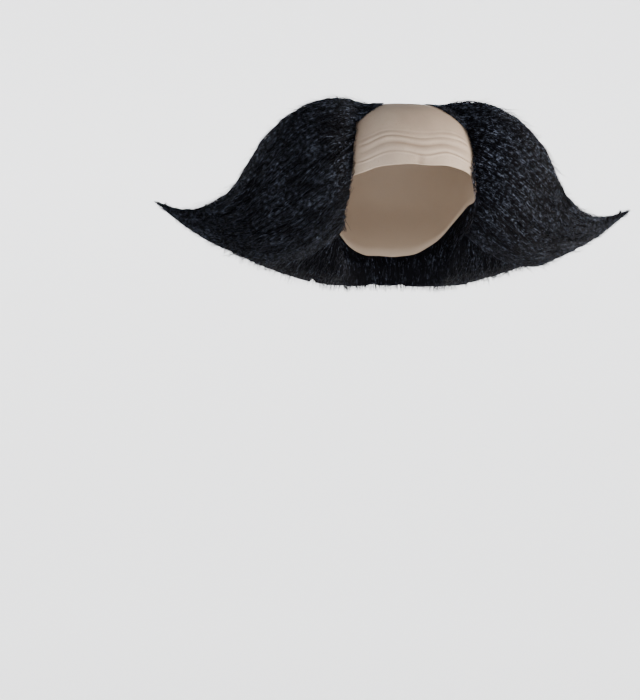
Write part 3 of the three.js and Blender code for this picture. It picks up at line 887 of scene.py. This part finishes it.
def hairline_strands(name, seed, edge_count, behind_count):
    rng = np.random.default_rng(seed)
    count = edge_count + behind_count
    steps = np.hypot(np.diff(hairline_across), np.diff(hairline_length))
    along = np.concatenate([[0], np.cumsum(steps)])
    pieces = []
    for side in (-1, 1):
        at = rng.uniform(0, along[-1], size=count)
        crown = rng.uniform(along[8], along[12], size=behind_count)
        at[edge_count:] = np.where(rng.uniform(size=behind_count) < 0.6, crown, at[edge_count:])
        askew = np.interp(at, along, hairline_askew) * (side > 0)
        x = np.interp(at, along, hairline_across) - 0.6 * askew
        y = np.interp(at, along, hairline_length) - 0.8 * askew
        leans = [np.interp(at, along, column) for column in (lean_across, lean_length, lean_up)]
        lean = np.stack(leans, 1) + rng.normal(size=(count, 3)) * 0.12
        lean /= np.linalg.norm(lean, axis=1, keepdims=True)
        edge_start = rng.uniform(-1.5, 2.5, size=edge_count)
        start = np.concatenate([edge_start, rng.uniform(0, 34, size=behind_count)]) * MM
        x, y = x + lean[:, 0] * start, y + lean[:, 1] * start
        root = np.stack([x, y, cap_height(x, y, wall + hair_gap)], 1)
        share = np.linspace(0, 1, 8)[None, :]
        reach = rng.uniform(16, 38, size=(count, 1)) * MM * share
        paths = root[:, None, :] + lean[:, None, :] * reach[..., None]
        lift = rng.uniform(0.2, 0.8, size=(count, 1)) + rng.uniform(0.6, 2.4, size=(count, 1)) * share
        paths = draped(paths, lift * MM)
        for _ in range(2):
            paths[:, 1:-1] = (paths[:, :-2] + 2 * paths[:, 1:-1] + paths[:, 2:]) / 4
        paths[..., 0] *= side
        pieces.append(paths)
    paths = np.concatenate(pieces)
    paths = crimped(paths, rng, rng.uniform(0.2, 0.8, len(paths)) * MM, (1.2, 2.8))
    paths = clear_of_head(paths, wall + hair_gap)
    tone = rng.uniform(size=len(paths)) ** 2
    return strand_object(name, paths, rng.uniform(0.2, 0.32, len(paths)) * MM, tone)


hairline = hairline_strands("hairline_strands", 61, 800, 800)

# %% [markdown]
# ## The hanging hair
#
# Behind, the strands fan from high on the head over the back and down to the hem. Some also run
# down the front of this mass, under the tufts, and some line its hollow under the cap's rim, which
# is what the face opening shows. At the hem the fibres end one by one, so short straight strands
# hang out of the underside like the hairs of a brush. All use the same tubes with other paths.


# %% The hanging hair's paths
def hanging_paths(rng, count, steps, angles, length, lift, spread, root_share):
    """Paths over the outer side half of the hanging hair."""
    tries = 2 * count
    end_x = rng.uniform(0, hanging_end, size=(tries, 1))
    arc = abs(angles[1] - angles[0]) * 100 * MM
    share = np.linspace(0, 1, steps)[None, :]
    begin = rng.uniform(-0.05, 0.95, size=(tries, 1))
    where = begin + rng.uniform(*length, size=(tries, 1)) / arc * share
    where = np.minimum(where, 1 + 0.02 * share)
    angle = angles[0] + (angles[1] - angles[0]) * where
    x = end_x * (root_share + (1 - root_share) * np.clip(where, 0, 1))
    x = x + rng.normal(size=(tries, 1)) * 4 * MM * share
    least = rng.uniform(*lift, size=(tries, 1)) + risen(rng, tries) * spread * share**2
    points = section_point(hanging_sections, x, angle, least + 0.6 * MM)
    outside = (head_share(points, wall) > 0.985).all(1)
    points = clear_of_head(points[outside], wall + hair_gap)
    return settled(points, least[outside], least[outside] + 5 * MM, count)


def shoulder_paths(rng, count, steps, length, lift):
    """Paths over the outer shoulder of the hanging hair, where it slopes down toward the flick."""
    tries = 3 * count
    angle = rng.uniform(math.radians(50), math.radians(236), size=(tries, 1))
    start = rng.uniform(60 * MM, hanging_end - 8 * MM, size=(tries, 1))
    share = np.linspace(0, 1, steps)[None, :]
    x = np.minimum(
        start + rng.uniform(*length, size=(tries, 1)) * share, hanging_end - 1 * MM * (1 - share)
    )
    sway = angle - np.cos(angle) * 0.5 * share + rng.normal(size=(tries, 1)) * 0.15 * share
    least = rng.uniform(*lift, size=(tries, 1)) + 0 * share
    points = section_point(hanging_sections, x, sway, least + 0.6 * MM)
    outside = (head_share(points, wall) > 0.985).all(1)
    return settled(points[outside], least[outside], least[outside] + 4 * MM, count)


def hanging_strands(name, side, seed, behind_count, front_count, shoulder_count):
    rng = np.random.default_rng(seed)
    over = (math.radians(86), math.radians(246))
    before = (math.radians(40), math.radians(-68))
    behind = hanging_paths(
        rng, behind_count, 10, over, (30 * MM, 75 * MM), (0.2 * MM, 2.4 * MM), 2 * MM, 0.6
    )
    front = hanging_paths(
        rng, front_count, 10, before, (28 * MM, 60 * MM), (0.2 * MM, 2.2 * MM), 1 * MM, 0.8
    )
    shoulder = shoulder_paths(rng, shoulder_count, 10, (25 * MM, 55 * MM), (0.2 * MM, 2.2 * MM))
    paths = np.concatenate([behind, front, shoulder])
    paths = crimped(paths, rng, rng.uniform(0.5, 1.6, len(paths)) * MM, (2.0, 3.4))
    paths = clear_of_head(paths, wall + hair_gap)
    paths[..., 0] *= side
    tone = shaded(rng.uniform(size=len(paths)) ** 1.8, paths)
    return strand_object(name, paths, rng.uniform(0.26, 0.42, len(paths)) * MM, tone)


hanging_right = hanging_strands("hanging_strands_right", -1, 21, 1400, 600, 850)
hanging_left = hanging_strands("hanging_strands_left", 1, 22, 1400, 600, 850)


# %% The hem's ends
def hem_strands(name, seed, count):
    rng = np.random.default_rng(seed)
    tries = 2 * count
    reach = hanging_end - 12 * MM
    at_hollow = rng.uniform(size=tries) < 0.3
    near_hollow = rng.uniform(-75 * MM, 75 * MM, size=tries)
    x = np.where(at_hollow, near_hollow, rng.uniform(-reach, reach, size=tries))
    across = np.where(at_hollow, rng.uniform(0.45, 0.66, size=tries), rng.uniform(0.08, 0.92, size=tries))
    angle = -np.arccos(-signed_power(2 * across - 1, section_squareness / 2))
    under = section_point(hanging_sections, x, angle, 0 * MM)
    top_end = under[:, 2] + rng.uniform(14, 34, size=tries) * MM
    low_end = under[:, 2] - rng.uniform(-1, 7, size=tries) * MM
    share = np.linspace(0, 1, 7)[None, :]
    z = top_end[:, None] + (low_end - top_end)[:, None] * share
    outward = 9 * MM * (x / hanging_end)[:, None]
    splay_x = (rng.normal(size=(tries, 1)) * 3 * MM + outward) * share
    splay_y = rng.normal(size=(tries, 1)) * 2.5 * MM * share
    paths = np.stack([x[:, None] + splay_x, under[:, 1, None] + splay_y, z], -1)
    paths = paths[(head_share(paths, wall + hair_gap) > 1).all(1)][:count]
    paths = crimped(paths, rng, rng.uniform(0.3, 1.0, len(paths)) * MM, (1.0, 2.2))
    # Low tones: the hem's ends show little of the painted sheen.
    tone = 0.3 * rng.uniform(size=len(paths)) ** 2
    return strand_object(name, paths, rng.uniform(0.2, 0.38, len(paths)) * MM, tone)


hem = hem_strands("hem_strands", 41, 1900)


# %% The hollow's lining
def lining_strands(name, seed, count):
    rng = np.random.default_rng(seed)
    degrees = rng.uniform(62, 298, size=count)
    turn = np.radians(np.where(degrees > 180, degrees - 360, degrees))
    top = -cap_edge_depth(turn) + 10 * MM
    sides = smooth_share(np.abs(np.degrees(turn)), 85, 130)
    bottom = crown_top - hair_drop * (0.7 + rng.uniform(0.285, 0.34, size=count) * sides)
    share = np.linspace(0, 1, 8)[None, :]
    begin = rng.uniform(0, 0.7, size=count)
    finish = np.minimum(begin + rng.uniform(0.3, 1.1, size=count), 1)
    where = begin[:, None] + (finish - begin)[:, None] * share
    z = top[:, None] + (bottom - top)[:, None] * where
    sway = turn[:, None] + rng.normal(size=(count, 1)) * 0.05 * share
    away = wall + rng.uniform(0.8, 2.4, size=(count, 1)) * MM
    radius = plan_radius(sway, away) * neck_narrowing(z)
    paths = np.stack([np.sin(sway) * radius, -np.cos(sway) * radius, z], -1)
    paths = crimped(paths, rng, rng.uniform(0.3, 0.8, count) * MM, (1.2, 2.6))
    thickness = rng.uniform(0.26, 0.4, count) * MM
    # Low tones: the lining shows little of the painted sheen.
    return strand_object(name, paths, thickness, 0.5 * rng.uniform(size=count) ** 2)


lining = lining_strands("lining_strands", 31, 1300)

# %% [markdown]
# ## Flyaways
#
# What makes the hair look like cheap frizzy fibre is its outline: hundreds of single hairs, thinner
# than the rest, that lift off the surface and end in the air. They follow the same paths as the
# strands below them, but rise clear of the form toward their tips.


# %% Loose fibres on the outline
def loose_strands(name, seed, tuft_count, hanging_count):
    rng = np.random.default_rng(seed)
    lengths = (12 * MM, 36 * MM)
    pieces = []
    for side in (-1, 1):
        tuft = tuft_paths(rng, tuft_count, 5, lengths, (1 * MM, 3 * MM), 6.5 * MM, 0.02)
        over = (math.radians(88), math.radians(240))
        behind = hanging_paths(rng, hanging_count, 5, over, lengths, (1 * MM, 3 * MM), 5 * MM, 0.6)
        for paths in (tuft, behind):
            paths[..., 0] *= side
            pieces.append(paths)
    paths = np.concatenate(pieces)
    paths = crimped(paths, rng, rng.uniform(0.5, 2.0, len(paths)) * MM, (0.7, 1.8))
    paths = clear_of_head(paths, wall + hair_gap)
    thickness = rng.uniform(0.17, 0.27, len(paths)) * MM
    return strand_object(name, paths, thickness, 0.6 * rng.uniform(size=len(paths)))


loose = loose_strands("loose_strands", 51, 1350, 450)

# %% [markdown]
# ## Black fibre
#
# The wig's fibre is black, and its cool grey shine is a painted sheen. The shader mixes a dark, slightly
# blue base, with a medium gloss, toward blue-grey by each strand's own tone, a broad noise and fine
# painted glint flecks. The inner mass uses the same black, broken up by a stretched noise bump, so that a
# gap between strands still looks like hair.


# %% The hair materials
def hair_material(name, dark, light, roughness):
    material, nodes, links, shader = new_material(name)
    place = nodes.new("ShaderNodeTexCoord").outputs["Object"]
    cloudy = noise_node(nodes, links, place, 40, 3, 0.6)
    flecks = noise_node(nodes, links, place, 260, 2, 0.6)
    tone = nodes.new("ShaderNodeMath")
    tone.operation = "MULTIPLY"
    links.new(attribute_value(nodes, "tone"), tone.inputs[0])
    links.new(stretched(nodes, links, cloudy.outputs["Fac"], 0.15, 0.75), tone.inputs[1])
    # Painted glints: the tone times fine flecks mixes the blue-grey painted sheen into the black.
    painted_glint = nodes.new("ShaderNodeMath")
    painted_glint.operation = "MULTIPLY"
    links.new(tone.outputs["Value"], painted_glint.inputs[0])
    links.new(stretched(nodes, links, flecks.outputs["Fac"], 0.46, 0.64), painted_glint.inputs[1])
    links.new(mix_colours(nodes, links, painted_glint.outputs["Value"], dark, light), shader.inputs["Base Color"])
    shader.inputs["Roughness"].default_value = roughness
    shader.inputs["Specular IOR Level"].default_value = 0.06
    return material


# The blue-grey second colour is a painted sheen.
fibre = hair_material("hair fibre", colour(1, 1, 5), colour(122, 131, 150), 0.5)
mass_fibre, nodes, links, shader = new_material("hair inside")
place = nodes.new("ShaderNodeTexCoord").outputs["Object"]
streaks = noise_node(nodes, links, place, 900, 4, 0.7)
deep = mix_colours(
    nodes, links, stretched(nodes, links, streaks.outputs["Fac"], 0.4, 0.75),
    colour(1, 1, 3), colour(10, 11, 16)
)
links.new(deep, shader.inputs["Base Color"])
shader.inputs["Roughness"].default_value = 0.8
shader.inputs["Specular IOR Level"].default_value = 0.05
rough = nodes.new("ShaderNodeBump")
rough.inputs["Strength"].default_value = 0.9
rough.inputs["Distance"].default_value = 1.2 * MM
links.new(streaks.outputs["Fac"], rough.inputs["Height"])
links.new(rough.outputs["Normal"], shader.inputs["Normal"])

for mass, node in ((mass_right, "hair_right"), (mass_left, "hair_left"), (mass_back, "hair_back")):
    mass.data.materials.append(mass_fibre)
    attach(mass, "root")
    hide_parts(node)
for strands in (tuft_right, tuft_left, hairline, hanging_right, hanging_left, hem, lining, loose):
    strands.data.materials.append(fibre)
    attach(strands, "root")

# %% [markdown]
# ## Floor and light
#
# The wig is held up by whoever or whatever wears it, which isn't part of it, so it hangs clear of a
# pale floor that curves up into a backdrop. A soft light half a metre across stands on the wig's own
# left, at the height of its forehead, and leaves the other side a little greyer. Weak lights from
# the other side and from above, and a pale sky, open the black hair, which would otherwise close up
# to a flat shape.

# %% Floor with a curved backdrop
floor_level = -1.3
floor_radius = 3.0
sweep_radius = 1.4
wall_top = 1.8
profile = [(floor_radius * share, floor_level) for share in (0.25, 0.6, 1)]
for step in range(1, 13):
    angle = math.pi / 2 * step / 12
    profile.append((
        floor_radius + sweep_radius * math.sin(angle),
        floor_level + sweep_radius * (1 - math.cos(angle)),
    ))
profile.append((floor_radius + sweep_radius, wall_top))
around = np.linspace(0, 2 * np.pi, 72, endpoint=False)
bowl_rings = np.array([
    np.stack([radius * np.cos(around), radius * np.sin(around), np.full(72, height)], 1)
    for radius, height in profile
])
bowl_vertices, bowl_triangles = loft(bowl_rings)
backdrop = make_object("backdrop", bowl_vertices, bowl_triangles[:-72], {})
paper, nodes, links, shader = new_material("pale paper")
shader.inputs["Base Color"].default_value = colour(246, 247, 249)
shader.inputs["Roughness"].default_value = 0.9
shader.inputs["Emission Color"].default_value = (1.0, 1.0, 1.0, 1.0)
shader.inputs["Emission Strength"].default_value = 1.25
backdrop.data.materials.append(paper)
backdrop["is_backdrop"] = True


# %% Lights
def soft_light(name, place, size, power, tint):
    data = bpy.data.lights.new(name, "AREA")
    data.shape = "DISK"
    data.size = size
    data.energy = power
    data.color = tint
    light = bpy.data.objects.new(name, data)
    light.location = place
    light.rotation_mode = "QUATERNION"
    light.rotation_quaternion = (Vector((0, 0, -0.09)) - light.location).to_track_quat("-Z", "Y")
    bpy.context.scene.collection.objects.link(light)
    return light


soft_light("key", Vector((1.45, -0.7, 0.02)), 0.5, 56, (1.0, 0.91, 0.8))
soft_light("fill", Vector((-1.2, -1.3, 0.3)), 1.0, 5, (0.9, 0.95, 1.0))
soft_light("top", Vector((-0.1, 0.4, 1.3)), 0.9, 1.5, (0.95, 0.97, 1.0))
world = bpy.data.worlds.new("soft sky")
world.use_nodes = True
sky = world.node_tree.nodes["Background"]
sky.inputs["Color"].default_value = (0.82, 0.9, 1.0, 1.0)
sky.inputs["Strength"].default_value = 0.15
bpy.context.scene.world = world

# %% [markdown]
# ## The triangle count
#
# The finished wig may be only slightly larger than the imported model, because loose fibres stand
# off it. The triangles of all the shown pieces are counted.

# %% Triangles in all the pieces
total = 0
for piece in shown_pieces():
    piece.data.calc_loop_triangles()
    total += len(piece.data.loop_triangles)
print("triangles in all the pieces:", total)
